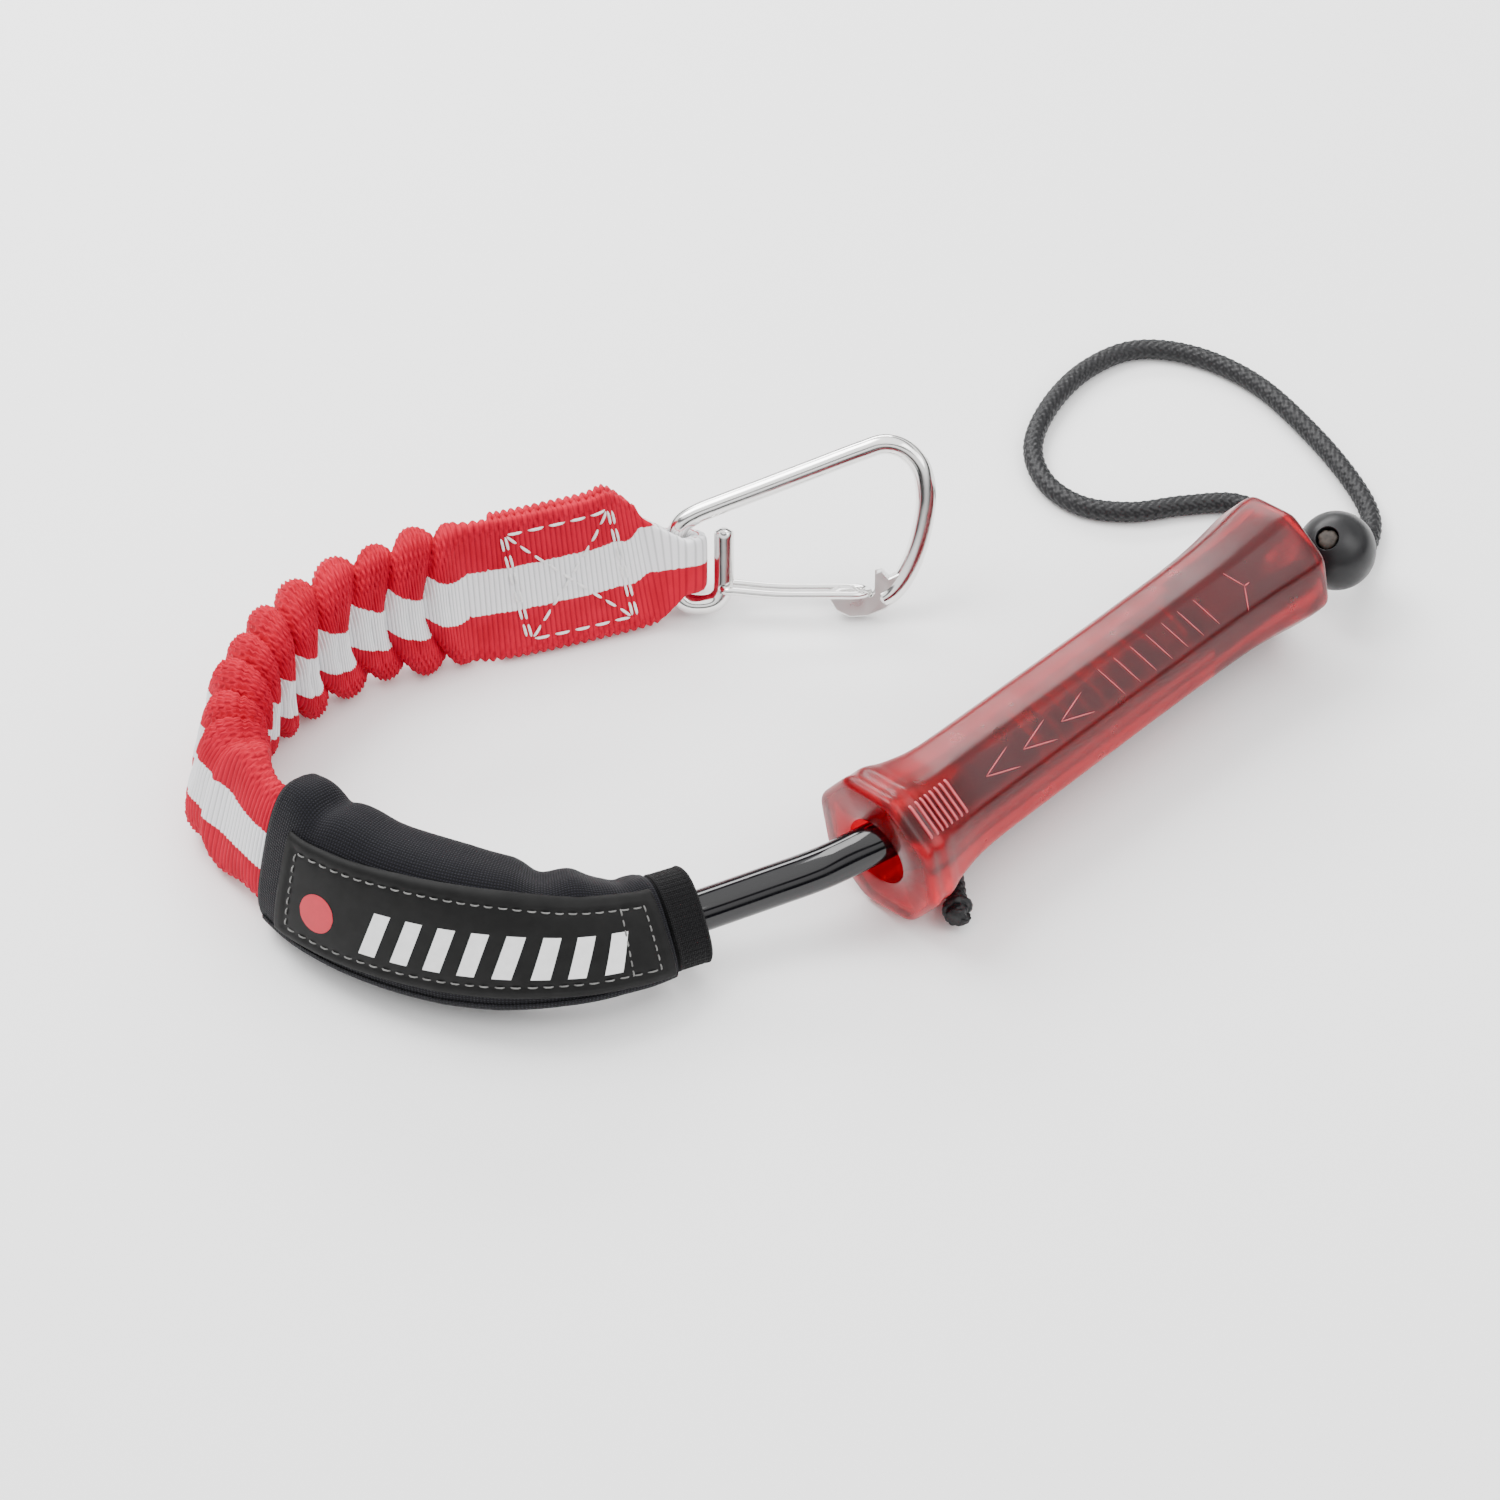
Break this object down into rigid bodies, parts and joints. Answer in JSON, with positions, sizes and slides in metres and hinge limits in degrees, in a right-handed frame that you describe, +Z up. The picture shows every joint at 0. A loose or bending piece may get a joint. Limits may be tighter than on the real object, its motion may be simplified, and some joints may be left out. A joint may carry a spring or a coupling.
{
  "type": "sport safety leash",
  "caption": "Short safety leash: a wire-gate snap hook on a gathered elastic webbing tether, a padded wrap, and a tube into a push-away release grip with a cord loop and ball toggle.",
  "frame": {"origin": "on the table, under the middle of the box round the leash without its cord loop and ball", "axes": "+Z up from the table; +X along the leash's longer side, from the gathered webbing to the grip's toggle end; -Y is the side with the padded wrap"},
  "size_m": [0.2912, 0.232, 0.0411],
  "materials": {
    "webbing_red": "woven tubular polyester webbing, red with a white centre stripe",
    "bungee_black": "sheathed elastic cord",
    "neoprene_black": "neoprene foam with a fine knitted face",
    "label_black": "smooth black label cloth with grey stitching and printed plain marks",
    "elastic_black": "ribbed knitted elastic",
    "tube_black": "glossy extruded polyurethane",
    "line_grey": "braided high-strength line",
    "crimp_aluminium": "satin swaged sleeve",
    "grip_red": "translucent frosted red moulding",
    "core_grey": "dark acetal rod",
    "bush_pale": "translucent red nylon",
    "pin_steel": "plain stainless steel",
    "spring_steel": "cold-drawn spring wire",
    "stainless": "polished stainless steel rod and wire",
    "ball_black": "satin moulded ball",
    "cord_black": "braided polyester cord"
  },
  "bodies": {
    "tether": {"webbing_tether": "webbing_red", "bungee_core": "bungee_black", "neoprene_wrap": "neoprene_black", "label_patch": "label_black", "elastic_cuff": "elastic_black", "line_crimp": "crimp_aluminium", "load_line": "line_grey", "pu_tube": "tube_black", "tube_ferrule": "pin_steel", "core_spindle": "core_grey", "socket_head": "bush_pale", "head_pin": "pin_steel", "spring_seat": "pin_steel", "stop_ring": "pin_steel", "return_spring": "spring_steel", "toggle_cord": "cord_black", "stopper_knot": "cord_black"},
    "hook": {"hook_body": "stainless"},
    "gate": {"gate_wire": "stainless"},
    "grip": {"release_grip": "grip_red", "guide_bush": "bush_pale"},
    "ball": {"ball_toggle": "ball_black"}
  },
  "joints": [
    {"name": "hook_swing", "type": "hinge", "parent": "tether", "child": "hook", "pos_m": [-0.0216, 0.0622, 0.0131], "axis": [0, 0.5, 0.866], "range_deg": [-60, 30]},
    {"name": "gate_hinge", "type": "hinge", "parent": "hook", "child": "gate", "pos_m": [-0.0097, 0.0589, 0.00738], "axis": [0, -0.866, 0.5], "range_deg": [0, 28], "stiffness_Nm_per_rad": 0.4, "springref_deg": -11.46},
    {"name": "grip_slide", "type": "slide", "parent": "tether", "child": "grip", "axis": [0.7269, 0.6863, 0.0225], "range_m": [-0.02, 0], "stiffness_N_per_m": 350, "springref_m": 0.012, "deforming": ["return_spring", "pu_tube", "load_line"]},
    {"name": "ball_spin", "type": "hinge", "parent": "tether", "child": "ball", "pos_m": [0.1405, 0.0622, 0.0168], "axis": [0.3403, 0.4004, -0.8508], "continuous": true}
  ]
}
